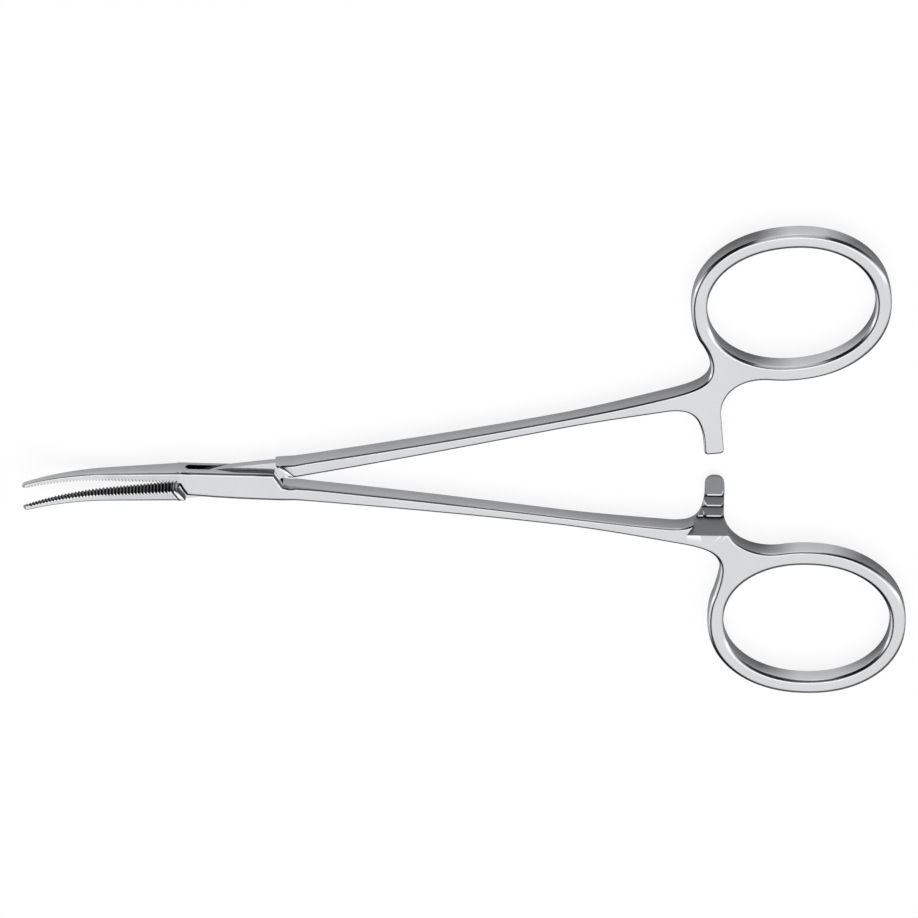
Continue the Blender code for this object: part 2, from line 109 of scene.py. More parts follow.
# Ratchet
BAR_BEFORE_RING = 0.38 * MM
BAR_WIDTH = 2.8 * MM
BAR_OVERLAP = 1.2 * MM
BAR_THICKNESS = 3.4 * MM
TONGUE_BAR_ROUND = 0.6 * MM
BOX_BAR_ROUND = 1.3 * MM
BAR_FILLET_HEIGHT = 4.3 * MM
RING_FILLET_DROP = 5.0 * MM
BAR_CROWN = 0.34 * MM
FIRST_CATCH_Y = 1.47 * MM
TOOTH_PITCH = 1.64 * MM
TOOTH_COUNT = 3
TOOTH_DEPTH = 0.5 * MM
TOOTH_CLEARANCE = 0.08 * MM
# The teeth slope off to the sides of the bar: width, rise as a share of it, and what is cut beyond
TOOTH_CHAMFER = 0.54 * MM
SLOPE_RISE = 0.68
SLOPE_TOP = 0.02 * MM
SLOPE_REACH = 0.12 * MM
SLOPE_OVERRUN = 0.1 * MM
SAW_BEFORE_BAR = 3.2 * MM
BAR_RAMP = 1.96 * MM
# The ramp below the last tooth widens to the left, from the first value to the second
SAW_SIDE = 1.1 * MM
RAMP_SIDE = 2.3 * MM
# Each tooth has a ground land on its crest and a sharp notch behind it
TOOTH_LAND = 0.2 * MM
NOTCH_DEPTH = 0.25 * MM
NOTCH_WIDTH = 0.45 * MM
RIM_BREAK = 0.17 * MM

# Jaws
JAW_ROOT = 6.7 * MM
JAW_STRAIGHT = 16.9 * MM
JAW_CURVE_RADIUS = 23.5 * MM
JAW_CURVE_ANGLE = math.radians(31.0)
JAW_ROOT_WIDTH = 3.6 * MM
JAW_TIP_WIDTH = 0.78 * MM
JAW_ROOT_HEIGHT = 1.72 * MM
JAW_TIP_HEIGHT = 0.55 * MM
JAW_TIP_ROUND = 0.55 * MM
JAW_BASE_GAP = 0.5 * MM
JAW_TIP_GAP = 0.04 * MM
JAW_TIP_WIDTH_SHARE = 0.3
JAW_TIP_HEIGHT_SHARE = 0.45
JAW_TIP_STATIONS = (0.3, 0.5, 0.68, 0.82, 0.92, 0.98, 1.0)
SERRATION_START = 7.2 * MM
# A serration's crest and valley as shares of the pitch, and its depth at most as a share of the height
SERRATION_CREST = 0.26
SERRATION_VALLEY = 0.63
SERRATION_LIMIT = 0.26
# Half of the jaw's section: shares of its width, and of its height below the serrated face
JAW_PROFILE = ((0.5, 0.0), (0.5, 0.3), (0.5, 0.5), (0.4995, 0.62), (0.498, 0.7), (0.492, 0.8),
               (0.476, 0.86), (0.46, 0.92), (0.435, 0.955), (0.4, 0.978), (0.33, 0.995), (0.2, 1.01),
               (0.1, 1.017), (0.0, 1.02))

RING_CENTRE = (RING_REACH * math.cos(RING_ANGLE), RING_REACH * math.sin(RING_ANGLE))
RING_LEFT = RING_CENTRE[0] - RING_HALF_LENGTH - RING_BAR_WIDTH / 2
RING_BOTTOM = RING_CENTRE[1] - RING_HALF_WIDTH - RING_BAR_WIDTH / 2
BAR_LEFT = RING_LEFT - BAR_BEFORE_RING
BAR_RIGHT = BAR_LEFT + BAR_WIDTH
SHANK_END = (BAR_LEFT - 4.7 * MM, RING_BOTTOM - 2.2 * MM)
SHANK_WAIST_X = SHANK_START[0] + (SHANK_END[0] - SHANK_START[0]) * SHANK_WAIST_SHARE
LAST_CATCH_Y = FIRST_CATCH_Y + TOOTH_PITCH * (TOOTH_COUNT - 1)
JAW_LENGTH = JAW_STRAIGHT + JAW_CURVE_RADIUS * JAW_CURVE_ANGLE
BEYOND = 1.5 * MM
# The edge of a face, from the face outwards: tilt in degrees, and length as a share of the crown.
# A ground chamfer at 28 degrees runs softly into the face, and is rounded off into the side wall
EDGE_PROFILE = ((4, 0.15), (10, 0.15), (17, 0.12), (23, 0.15), (28, 0.3), (33, 0.15), (42, 0.08),
                (55, 0.07), (68, 0.07), (80, 0.08))
# How far the side walls lean in between the middle and the edge, as a share of the crown
WALL_LEAN = 0.1
# Edges sharper than this are broken, and stay sharp in the shading
SHARP_EDGE = math.radians(28)
# Material slots of a half: satin, machined, and SHADED, which is painted shade for the recesses where
# shade falls
SATIN = 0
MACHINED = 1
SHADED = 2


def mm(*pairs):
    """Points given in millimetres, as metres."""
    return [(x * MM, y * MM) for x, y in pairs]


# Corners of the box lock in the ring plane
JAW_ROOT_CORNER = mm((-8.0, -1.62), (-7.7, -1.9))
TONGUE_LEFT_CORNER = mm((-5.55, 1.8), (-5.9, 1.25), (-7.2, -0.28), (-8.0, -0.36))
TONGUE_RIGHT_CORNER = mm((6.1, -1.35), (7.45, -0.02), (8.5, 0.28))
TONGUE_SHOULDERS = mm((-8.9, 1.9), (-5.55, -3.1), (9.65, -3.1), (9.65, -0.75), (6.25, 3.0), (-8.9, 3.0))
BOX_LEFT_CORNER = mm((-5.95, 1.78), (-6.4, 1.25), (-7.3, -0.28), (-8.0, -0.36))
BOX_RIGHT_CORNER = mm((6.45, -1.8), (7.7, 0.14), (8.6, 0.32))
LEFT_SHOULDER = (TONGUE_SHOULDERS[1], TONGUE_SHOULDERS[0])
RIGHT_SHOULDER = (TONGUE_SHOULDERS[4], TONGUE_SHOULDERS[3])
# Ground off the edges of the shoulders: a slight chamfer, and a fine line along its inner side, whose
# floor is painted shade
SHOULDER_CHAMFER = 0.5 * MM
SHOULDER_TILT = math.radians(14)
SHOULDER_LINE = 0.18 * MM
SHOULDER_LINE_DEPTH = 0.2 * MM
# Where the front and the back edge of the tongue come out of the slot, and the painted shade of the
# slot's shadow on them ends
TONGUE_EMERGES = mm((-3.4, 0.1))[0]
SLOT_OUTLINE = mm((-5.8, -3.2), (-5.8, -2.0), (-6.25, -1.3), (-7.45, 0.0), (-9.0, 0.3), (-9.0, 3.2),
                  (5.8, 3.2), (5.8, 2.0), (6.25, 1.3), (7.75, 0.0), (9.0, 0.0), (9.0, -3.2))


class ForcepsShape(bpy.types.PropertyGroup):
    """Sizes that a user would change without moving the lock."""

    opening: bpy.props.FloatProperty(
        name="Opening", description="Angle between the two halves at rest",
        default=math.radians(5.8), subtype="ANGLE")
    edge_break: bpy.props.FloatProperty(
        name="Edge break", description="Width of the broken edge where flat faces meet",
        default=0.00004, precision=5, subtype="DISTANCE", unit="LENGTH")
    serration_pitch: bpy.props.FloatProperty(
        name="Serration pitch", description="Distance from one serration to the next",
        default=0.00048, precision=5, subtype="DISTANCE", unit="LENGTH")
    serration_depth: bpy.props.FloatProperty(
        name="Serration depth", description="Depth of a serration at the root of the jaw",
        default=0.00028, precision=5, subtype="DISTANCE", unit="LENGTH")
    fineness: bpy.props.IntProperty(
        name="Fineness", description="How many times finer the outline is than the solid's",
        default=3, min=1, max=6)


class ForcepsFinish(bpy.types.PropertyGroup):
    """Colours and grain of the steel, and the near black painted as shade in its cuts."""

    steel: bpy.props.FloatVectorProperty(
        name="Steel", description="Colour of the satin steel", size=3, subtype="COLOR",
        default=(0.74, 0.745, 0.76), min=0.0, max=1.0)
    shade: bpy.props.FloatVectorProperty(
        name="Steel in the cloudy patches", description="Slightly darker tint of handled steel",
        size=3, subtype="COLOR", default=(0.66, 0.665, 0.685), min=0.0, max=1.0)
    cut: bpy.props.FloatVectorProperty(
        name="Machined steel", description="Colour of the ratchet and of the crests of the serrations",
        size=3, subtype="COLOR", default=(0.38, 0.385, 0.395), min=0.0, max=1.0)
    cut_shade: bpy.props.FloatVectorProperty(
        name="Machined steel in the cloudy patches", description="Darker tint of machined steel",
        size=3, subtype="COLOR", default=(0.35, 0.355, 0.365), min=0.0, max=1.0)
    # Painted shade: a near black that stands in for the shade inside the slot, the notches and the
    # grooves
    painted_shade: bpy.props.FloatVectorProperty(
        name="Painted shade", description="Colour inside the slot, the notches and the grooves",
        size=3, subtype="COLOR", default=(0.05, 0.05, 0.055), min=0.0, max=1.0)
    cut_roughness: bpy.props.FloatProperty(
        name="Machined roughness", description="Mean roughness of the machined faces", default=0.5,
        min=0.0, max=1.0, subtype="FACTOR")
    roughness: bpy.props.FloatProperty(
        name="Roughness", description="Mean roughness of the satin finish", default=0.15,
        min=0.0, max=1.0, subtype="FACTOR")
    grain: bpy.props.FloatProperty(
        name="Grain", description="How much the grinding marks change the roughness", default=0.09,
        min=0.0, max=1.0, subtype="FACTOR")


class ForcepsStudio(bpy.types.PropertyGroup):
    """Camera and light."""

    distance: bpy.props.FloatProperty(
        name="Camera distance", description="From the camera to the middle of the picture",
        default=1.6, subtype="DISTANCE", unit="LENGTH")
    elevation: bpy.props.FloatProperty(
        name="Camera elevation", description="Height of the view above the ring plane",
        default=math.radians(65), subtype="ANGLE")
    turn: bpy.props.FloatProperty(
        name="Camera turn", description="Turn of the view about the vertical",
        default=math.radians(-2.05), subtype="ANGLE")
    frame_width: bpy.props.FloatProperty(
        name="Picture width", description="Width of what the camera sees at the forceps",
        default=0.129515, precision=4, subtype="DISTANCE", unit="LENGTH")
    key_power: bpy.props.FloatProperty(
        name="Key lamp", description="Power of the large soft lamp behind the forceps", default=20.0,
        subtype="POWER", unit="POWER")
    card_power: bpy.props.FloatProperty(
        name="Ring card", description="Power of the pale card that the rings mirror", default=0.008,
        precision=4, subtype="POWER", unit="POWER")
    floor: bpy.props.FloatVectorProperty(
        name="Floor", description="Colour of the white floor", size=3, subtype="COLOR",
        default=(0.95, 0.95, 0.95), min=0.0, max=1.0)


# Outlines

def cubic(corners, t):
    """A point of a cubic curve."""
    u = 1.0 - t
    weights = (u * u * u, 3 * u * u * t, 3 * u * t * t, t * t * t)
    return tuple(sum(w * c[axis] for w, c in zip(weights, corners)) for axis in (0, 1))


def bezier(start, handle_a, handle_b, end, count):
    """Points of a cubic curve, without its last one."""
    return [cubic((start, handle_a, handle_b, end), step / count) for step in range(count)]


def straight(start, end, count):
    """Points of a straight line, without its last one."""
    return bezier(start, start, end, end, count)


def ring_point(angle, outward, shift):
    """A point of the finger ring, at a distance from the middle line of its bar."""
    cosine = math.cos(angle)
    sine = math.sin(angle)
    power = 2.0 / RING_POWER
    along = math.copysign(abs(cosine) ** power, cosine) * (RING_HALF_LENGTH + outward)
    across = math.copysign(abs(sine) ** power, sine) * (RING_HALF_WIDTH + outward)
    turned_x = along * math.cos(RING_TILT) - across * math.sin(RING_TILT)
    turned_y = along * math.sin(RING_TILT) + across * math.cos(RING_TILT)
    return (RING_CENTRE[0] + shift + turned_x, RING_CENTRE[1] + turned_y)


def shank_centre(share):
    """The shank's middle line, from the box (0) to the neck of the ring (1)."""
    start = SHANK_START
    end = SHANK_END
    handle_a = (start[0] + SHANK_HANDLE, start[1] + SHANK_HANDLE * SHANK_START_SLOPE)
    handle_b = (end[0] - SHANK_HANDLE, end[1] - SHANK_HANDLE * SHANK_END_SLOPE)
    return cubic((start, handle_a, handle_b, end), share)


def shank_width(x):
    """Width in the ring plane: it narrows from the box to a waist and widens to the neck."""
    if x < SHANK_WAIST_X:
        share = (SHANK_WAIST_X - x) / (SHANK_WAIST_X - SHANK_START[0])
        return SHANK_WAIST_WIDTH + (SHANK_BOX_WIDTH - SHANK_WAIST_WIDTH) * share ** 1.3
    share = (x - SHANK_WAIST_X) / (SHANK_END[0] - SHANK_WAIST_X)
    return SHANK_WAIST_WIDTH + (SHANK_NECK_WIDTH - SHANK_WAIST_WIDTH) * share ** 2


def ease(value, start, end):
    """Smooth step from 0 at start to 1 at end."""
    share = min(1.0, max(0.0, (value - start) / (end - start)))
    return share * share * (3 - 2 * share)


def thickness(x):
    """Thickness along Z: box, shank, waist, ratchet and ring run into each other."""
    value = BOX_THICKNESS + (SHANK_BOX_THICKNESS - BOX_THICKNESS) * ease(x, *BOX_TAPER)
    value += (SHANK_WAIST_THICKNESS - SHANK_BOX_THICKNESS) * ease(x, BOX_TAPER[1], SHANK_WAIST_X)
    value += (BAR_THICKNESS - SHANK_WAIST_THICKNESS) * ease(x, SHANK_WAIST_X, SHANK_END[0])
    # The end of the box sinks into the root of its jaw
    return min(value, jaw_width(-x) - HAIR) if x < -JAW_ROOT else value


def jaw_width(distance):
    """Width of the jaw square to its serrated face, at a distance from the pin."""
    share = (JAW_LENGTH - distance) / (JAW_LENGTH - JAW_ROOT)
    return JAW_TIP_WIDTH + (JAW_ROOT_WIDTH - JAW_TIP_WIDTH) * share


def crown(x, y):
    """How far the edges are rounded back at the faces."""
    value = BOX_CROWN + (SHANK_CROWN - BOX_CROWN) * ease(x, *BOX_CROWN_TAPER)
    value += (BAR_CROWN - SHANK_CROWN) * ease(x, SHANK_END[0] - 6 * MM, BAR_LEFT)
    value += (RING_CROWN - BAR_CROWN) * ease(y, RING_BOTTOM - 1 * MM, RING_BOTTOM + 3.3 * MM)
    return value


def shank_edge(side, shares):
    """One edge of the shank, at shares of its length."""
    step = 0.001
    points = []
    for share in shares:
        x, y = shank_centre(share)
        ahead = shank_centre(min(1.0, share + step))
        behind = shank_centre(max(0.0, share - step))
        dx = ahead[0] - behind[0]
        dy = ahead[1] - behind[1]
        length = math.hypot(dx, dy)
        half = shank_width(x) / 2 * side
        points.append((x - dy / length * half, y + dx / length * half))
    return points


def arm_outline(box_left_corner, box_right_corner, bar_round, ring_shift, fineness):
    """Outline of one half without its jaw, counterclockwise, in the half's own frame."""
    steps = 11 * fineness
    shares = [i / steps for i in range(steps + 1)]
    outer_radius = RING_BAR_WIDTH / 2
    points = []
    # Under the box, from the jaw root to the inner corner where the slot or the shoulder starts
    points += JAW_ROOT_CORNER
    points += bezier((-7.2 * MM, -BOX_INNER_EDGE), (-3 * MM, -1.93 * MM), (1 * MM, -1.86 * MM),
                     (5.6 * MM, -1.9 * MM), 6)
    points += box_right_corner
    # Inner edge of the shank
    inner = shank_edge(-1, shares)
    points += inner
    # Left fillet of the ratchet bar, the bar and its rounded end
    bar_end = -BAR_OVERLAP
    straight_y = bar_end + bar_round
    root_y = inner[-1][1]
    fillet_y = root_y - BAR_FILLET_HEIGHT
    points += bezier(inner[-1], (BAR_LEFT - 1.3 * MM, root_y + 0.1 * MM),
                     (BAR_LEFT - 0.3 * MM, root_y - 1.0 * MM), (BAR_LEFT, fillet_y), 9 * fineness)[1:]
    points += straight((BAR_LEFT, fillet_y), (BAR_LEFT, straight_y), 3)
    points += bezier((BAR_LEFT, straight_y), (BAR_LEFT, bar_end + 0.4 * bar_round),
                     (BAR_LEFT + 0.4 * bar_round, bar_end), (BAR_LEFT + bar_round, bar_end),
                     4 * fineness)
    points += bezier((BAR_RIGHT - bar_round, bar_end), (BAR_RIGHT - 0.4 * bar_round, bar_end),
                     (BAR_RIGHT, bar_end + 0.4 * bar_round), (BAR_RIGHT, straight_y), 4 * fineness)
    rise_y = RING_BOTTOM - RING_FILLET_DROP
    points += straight((BAR_RIGHT, straight_y), (BAR_RIGHT, rise_y), 4)
    # Right fillet, up to the ring
    first = RING_FIRST_ANGLE
    last = RING_LAST_ANGLE
    joint = ring_point(first, outer_radius, ring_shift)
    points += bezier((BAR_RIGHT, rise_y), (BAR_RIGHT, rise_y + 4.0 * MM),
                     (joint[0] - 4.4 * MM, joint[1] + 0.85 * MM), joint, 10 * fineness)
    # Round the ring
    count = 48 * fineness
    for i in range(count + 1):
        points.append(ring_point(first + (last - first) * i / count, outer_radius, ring_shift))
    # The neck, and the outer edge of the shank back to the box
    leave = ring_point(last, outer_radius, ring_shift)
    outer = shank_edge(1, shares)
    neck_x = RING_LEFT + NECK_INSET + ring_shift / 2
    neck_y = RING_BOTTOM + NECK_RISE
    points += bezier(leave, (neck_x - 0.4 * MM, neck_y + 2.5 * MM), (neck_x, neck_y + 1.3 * MM),
                     (neck_x, neck_y), 4 * fineness)[1:]
    points += bezier((neck_x, neck_y), (neck_x, neck_y - 2.7 * MM),
                     (neck_x - 1.9 * MM, neck_y - 3.45 * MM), outer[-1], 8 * fineness)
    points += reversed(outer)
    points += bezier((7.4 * MM, 2.42 * MM), (3.0 * MM, 2.34 * MM), (-1.5 * MM, 2.2 * MM),
                     box_left_corner[0], 12)
    points += box_left_corner
    return points


def finger_hole(ring_shift, fineness):
    """The hole in the ring, clockwise."""
    count = 48 * fineness
    inward = -RING_BAR_WIDTH / 2
    return [ring_point(-2 * math.pi * i / count, inward, ring_shift) for i in range(count)]


def inset_loop(points, share):
    """Moves the outline into the metal by a share of the crown there, with mitred corners."""
    moved = []
    count = len(points)
    for i, (x, y) in enumerate(points):
        here = Vector((x, y))
        before = (here - Vector(points[i - 1])).normalized()
        after = (Vector(points[(i + 1) % count]) - here).normalized()
        normal_before = Vector((-before.y, before.x))
        normal_after = Vector((-after.y, after.x))
        mitre = (normal_before + normal_after) / (1.0 + normal_before.dot(normal_after))
        moved.append(here + mitre * crown(x, y) * share)
    return moved


# Meshes

def add_object(name, bm, materials=()):
    """A new object from a bmesh."""
    mesh = bpy.data.meshes.new(name)
    bm.to_mesh(mesh)
    bm.free()
    obj = bpy.data.objects.new(name, mesh)
    for slot in materials:
        mesh.materials.append(slot)
    bpy.context.scene.collection.objects.link(obj)
    return obj


def closed_chain(bm, places):
    """A closed chain of edges through the places."""
    verts = [bm.verts.new(place) for place in places]
    return [bm.edges.new((vert, verts[i - 1])) for i, vert in enumerate(verts)]


def edge_levels():
    """Levels of the side wall and its edge, from the middle to the front face.

    Each is a share of the wall's height, and the rise above the wall and the inset from the
    outline as shares of the crown. The last rise is the height of the whole edge."""
    levels = [(share, 0.0, WALL_LEAN * share * share) for share in (0.0, 0.35, 0.7, 1.0)]
    for tilt, length in reversed(EDGE_PROFILE):
        _, rise, inset = levels[-1]
        levels.append((1.0, rise + length * math.sin(math.radians(tilt)),
                       inset + length * math.cos(math.radians(tilt))))
    return levels


def crowned_plate(name, loops, materials):
    """A plate with chamfered edges: the outline is drawn at each level of the edge and bridged."""
    bm = bmesh.new()
    levels = edge_levels()
    edge_height = levels[-1][1]
    rims = []
    for loop in loops:
        chains = []
        for side in (-1, 1):
            for wall, rise, share in (reversed(levels) if side < 0 else levels[1:]):
                places = []
                for (x, y), inner in zip(loop, inset_loop(loop, share)):
                    wall_height = thickness(x) / 2 - edge_height * crown(x, y)
                    height = wall_height * wall + rise * crown(x, y)
                    places.append((inner.x, inner.y, side * height))
                chains.append(closed_chain(bm, places))
        for low, high in zip(chains, chains[1:]):
            bmesh.ops.bridge_loops(bm, edges=low + high)
        rims.append((chains[0], chains[-1]))
    for ends in zip(*rims):
        bmesh.ops.triangle_fill(bm, use_beauty=True, edges=[edge for rim in ends for edge in rim])
    bmesh.ops.recalc_face_normals(bm, faces=bm.faces)
    return add_object(name, bm, materials)


def jaw_path(distance, side):
    """Place and direction of the jaw's middle line, at a distance from the pin along the jaw."""
    if distance <= JAW_STRAIGHT:
        return Vector((-distance, 0, 0)), 0.0
    angle = (distance - JAW_STRAIGHT) / JAW_CURVE_RADIUS
    x = -JAW_STRAIGHT - JAW_CURVE_RADIUS * math.sin(angle)
    z = JAW_CURVE_RADIUS * (1 - math.cos(angle)) * side
    return Vector((x, 0, z)), angle * side


def jaw_section(distance, depth):
    """The D-shaped section at a distance from the pin: places across the jaw, and Y."""
    share = (JAW_LENGTH - distance) / (JAW_LENGTH - JAW_ROOT)
    width = jaw_width(distance)
    height = JAW_TIP_HEIGHT + (JAW_ROOT_HEIGHT - JAW_TIP_HEIGHT) * share
    left = JAW_LENGTH - distance
    if left < JAW_TIP_ROUND:
        fall = math.sqrt(max(0.0, 1 - (1 - left / JAW_TIP_ROUND) ** 2))
        width *= JAW_TIP_WIDTH_SHARE + (1 - JAW_TIP_WIDTH_SHARE) * fall
        height *= JAW_TIP_HEIGHT_SHARE + (1 - JAW_TIP_HEIGHT_SHARE) * fall
    gap = JAW_TIP_GAP + (JAW_BASE_GAP - JAW_TIP_GAP) * share
    right = [(w * width, -gap / 2 - h * height) for w, h in JAW_PROFILE]
    right[0] = (right[0][0], right[0][1] - min(depth, SERRATION_LIMIT * height))
    return right + [(-across, y) for across, y in reversed(right[:-1])]


def jaw_stations(pitch, depth):
    """Distances along the jaw, each with the depth of the serration there."""
    stations = [(JAW_ROOT, 0.0), ((JAW_ROOT + SERRATION_START) / 2, 0.0), (SERRATION_START, 0.0)]
    count = int((JAW_LENGTH - JAW_TIP_ROUND - SERRATION_START) / pitch)
    for i in range(count):
        crest = SERRATION_START + pitch * i
        stations.append((crest + pitch * SERRATION_CREST, 0.0))
        stations.append((crest + pitch * SERRATION_VALLEY, depth))
        stations.append((crest + pitch, 0.0))
    end = stations[-1][0]
    for share in JAW_TIP_STATIONS:
        stations.append((end + (JAW_LENGTH - end) * share, 0.0))
    return stations


def jaw(name, side, shape):
    """A serrated jaw: sections bridged along its curve, closed at both ends."""
    bm = bmesh.new()
    chains = []
    stations = jaw_stations(shape.serration_pitch, shape.serration_depth)
    for distance, depth in stations:
        place, angle = jaw_path(distance, side)
        places = [(place.x + across * math.sin(angle), y, place.z + across * math.cos(angle))
                  for across, y in jaw_section(distance, depth)]
        chains.append(closed_chain(bm, places))
    for i, (near, far) in enumerate(zip(chains, chains[1:])):
        bridged = bmesh.ops.bridge_loops(bm, edges=near + far)["faces"]
        # The grooves of the serrations are painted shade; the lands between them are machined
        groove = stations[i][1] > 0 or stations[i + 1][1] > 0
        # The face between the two ends of the profile is the serrated one
        for face in bridged:
            if near[0] in face.edges[:]:
                face.material_index = SHADED if groove else MACHINED
    for rim in (chains[0], chains[-1]):
        bmesh.ops.contextual_create(bm, geom=rim)
    bmesh.ops.recalc_face_normals(bm, faces=bm.faces)
    return add_object(name, bm)


def prism(name, outline, low, high, slot=SATIN, turn=None):
    """A straight prism over an outline, from low to high, with the finish of what it cuts."""
    bm = bmesh.new()
    edges = closed_chain(bm, [(x, y, low) for x, y in outline])
    face = bmesh.ops.contextual_create(bm, geom=edges)["faces"]
    grown = bmesh.ops.extrude_face_region(bm, geom=face)
    moved = [item for item in grown["geom"] if isinstance(item, bmesh.types.BMVert)]
    bmesh.ops.translate(bm, verts=moved, vec=(0, 0, high - low))
    if turn is not None:
        bmesh.ops.transform(bm, matrix=turn, verts=bm.verts)
    bmesh.ops.recalc_face_normals(bm, faces=bm.faces)
    for face in bm.faces:
        face.material_index = slot
    return add_object(name, bm)


def cylinder(name, radius, length, sides=96):
    """A cylinder on the pin's axis."""
    bm = bmesh.new()
    bmesh.ops.create_cone(bm, cap_ends=True, segments=sides, radius1=radius, radius2=radius,
                          depth=length)
    return add_object(name, bm)


def settle(obj):
    """Applies the modifiers of an object."""
    bpy.context.view_layer.update()
    mesh = bpy.data.meshes.new_from_object(obj.evaluated_get(bpy.context.evaluated_depsgraph_get()))
    obj.modifiers.clear()
    obj.data = mesh


def combine(obj, others, operation):
    """Exact booleans with other objects, which are then removed."""
    for other in others:
        modifier = obj.modifiers.new(operation.title(), "BOOLEAN")
        modifier.operation = operation
        modifier.solver = "EXACT"
        modifier.object = other
    settle(obj)
    for other in others:
        bpy.data.objects.remove(other)


def cut_slanting(obj, corner, normal):
    """Cuts a machined cutter off along a plane, and closes it there."""
    bm = bmesh.new()
    bm.from_mesh(obj.data)
    cut = bmesh.ops.bisect_plane(bm, geom=bm.verts[:] + bm.edges[:] + bm.faces[:], plane_co=corner,
                                 plane_no=normal, clear_outer=True)
    rim = [item for item in cut["geom_cut"] if isinstance(item, bmesh.types.BMEdge)]
    bmesh.ops.contextual_create(bm, geom=rim)
    bmesh.ops.recalc_face_normals(bm, faces=bm.faces)
    for face in bm.faces:
        face.material_index = MACHINED
    bm.to_mesh(obj.data)
    bm.free()


def ratchet_cutters():
    """What is cut away behind the ratchet bar: the saw profile, the ramp, and the teeth's slopes."""
    behind = -RING_THICKNESS
    crest = TOOTH_CLEARANCE
    valley = TOOTH_CLEARANCE + TOOTH_DEPTH
    land = crest + TOOTH_DEPTH * TOOTH_LAND / TOOTH_PITCH
    # The profile's first value is the height Z, its second the place Y
    profile = [(behind, -BAR_OVERLAP - BEYOND), (valley, -BAR_OVERLAP - BEYOND), (valley, -BAR_OVERLAP)]
    for tooth in range(TOOTH_COUNT):
        catch = FIRST_CATCH_Y + TOOTH_PITCH * tooth
        profile.append((land, catch - TOOTH_LAND))
        profile.append((land - HAIR, catch))
        profile.append((valley + NOTCH_DEPTH, catch))
        profile.append((valley, catch + NOTCH_WIDTH))
    ramp_y = LAST_CATCH_Y + BAR_RAMP * (valley - behind) / (BAR_THICKNESS / 2 + valley)
    profile.append((behind, ramp_y))
    # Local X becomes world Z, local Y stays, local Z becomes world -X
    turn = Matrix(((0, 0, -1, 0), (0, 1, 0, 0), (1, 0, 0, 0), (0, 0, 0, 1)))
    saw = prism("saw", profile, -(BAR_RIGHT + BEYOND), -(BAR_LEFT - SAW_SIDE), MACHINED, turn)
    for face in saw.data.polygons:
        # The ground lands lie almost level and stay satin; the bottoms of the notches, at about 30
        # degrees, are painted shade
        level = abs(face.normal.z)
        if level > 0.99:
            face.material_index = SATIN
        elif 0.8 < level < 0.89:
            face.material_index = SHADED
    ramp = prism("ramp", [(behind, LAST_CATCH_Y), (valley, LAST_CATCH_Y), profile[-2], profile[-1]],
                 -BAR_LEFT, -(BAR_LEFT - SAW_BEFORE_BAR), MACHINED, turn)
    side = Vector((SAW_SIDE - RAMP_SIDE, BAR_RAMP, 0))
    cut_slanting(ramp, Vector((BAR_LEFT - SAW_SIDE, LAST_CATCH_Y, 0)), side.cross(Vector((0, 0, -1))))
    cutters = [saw, ramp]
    size = TOOTH_CHAMFER
    # Drawn in X and Z, run along -Y
    turn = Matrix(((1, 0, 0, 0), (0, 0, -1, 0), (0, 1, 0, 0), (0, 0, 0, 1)))
    for edge, inward in ((BAR_LEFT, 1), (BAR_RIGHT, -1)):
        outer = edge - inward * SLOPE_REACH
        outline = [(outer, crest - size), (edge + inward * size, crest - size),
                   (edge + inward * size, crest - SLOPE_TOP), (outer, crest + size * SLOPE_RISE)]
        cutters.append(prism("slope", outline, -LAST_CATCH_Y - SLOPE_OVERRUN, BAR_OVERLAP + BEYOND,
                             turn=turn))
    return cutters


def break_rims(obj):
    """Rounds the rim between the machined teeth and the satin sides of the bar."""
    bm = bmesh.new()
    bm.from_mesh(obj.data)
    bmesh.ops.remove_doubles(bm, verts=bm.verts, dist=0.000002)
    bmesh.ops.dissolve_degenerate(bm, dist=0.000001, edges=bm.edges)
    rims = []
    for edge in bm.edges:
        middle = (edge.verts[0].co + edge.verts[1].co) / 2
        on_teeth = middle.x > BAR_LEFT - SAW_SIDE and middle.y < FIRST_CATCH_Y - TOOTH_LAND
        if on_teeth and len(edge.link_faces) == 2:
            kinds = {face.material_index for face in edge.link_faces}
            if len(kinds) == 2 and edge.calc_face_angle() > math.radians(50):
                rims.append(edge)
    bmesh.ops.bevel(bm, geom=rims, affect="EDGES", offset=RIM_BREAK, offset_type="OFFSET", segments=4,
                    profile=0.5, material=SATIN, clamp_overlap=True)
    bm.to_mesh(obj.data)
    bm.free()


def along_shoulder(name, shoulder, side, section, slot):
    """A cutter along a shoulder: its section is drawn square to it, outwards and up."""
    start, end = Vector(shoulder[0]), Vector(shoulder[1])
    along = (end - start).normalized()
    outward = Vector((along.y, -along.x))
    turn = Matrix(((outward.x, 0, along.x, start.x), (outward.y, 0, along.y, start.y),
                   (0, side, 0, 0), (0, 0, 0, 1)))
    return prism(name, section, 0.0, (end - start).length, slot, turn)


def shoulder_cutters():
    """What is ground off the edges of the shoulders beside the tongue."""
    top = BOX_THICKNESS / 2
    width = SHOULDER_CHAMFER
    fall = width * math.tan(SHOULDER_TILT)
    bottom = top - SHOULDER_LINE_DEPTH
    # Each shoulder with the height of its chamfer at the inner side, and as far again beyond the edge
    chamfers = ((LEFT_SHOULDER, -HAIR, -2 * fall), (RIGHT_SHOULDER, -fall, fall))
    cutters = []
    for side in (1, -1):
        for shoulder, inner, outer in chamfers:
            section = [(-width - SHOULDER_LINE, bottom), (-width, bottom), (-width, top + inner),
                       (width, top + outer), (width, top * 2), (-width - SHOULDER_LINE, top * 2)]
            cutter = along_shoulder("chamfer", shoulder, side, section, SATIN)
            # The floor of the fine line is painted shade, a dark line beside the chamfer
            for face in cutter.data.polygons:
                if abs(abs(face.center.z) - bottom) < HAIR:
                    face.material_index = SHADED
            cutters.append(cutter)
    return cutters


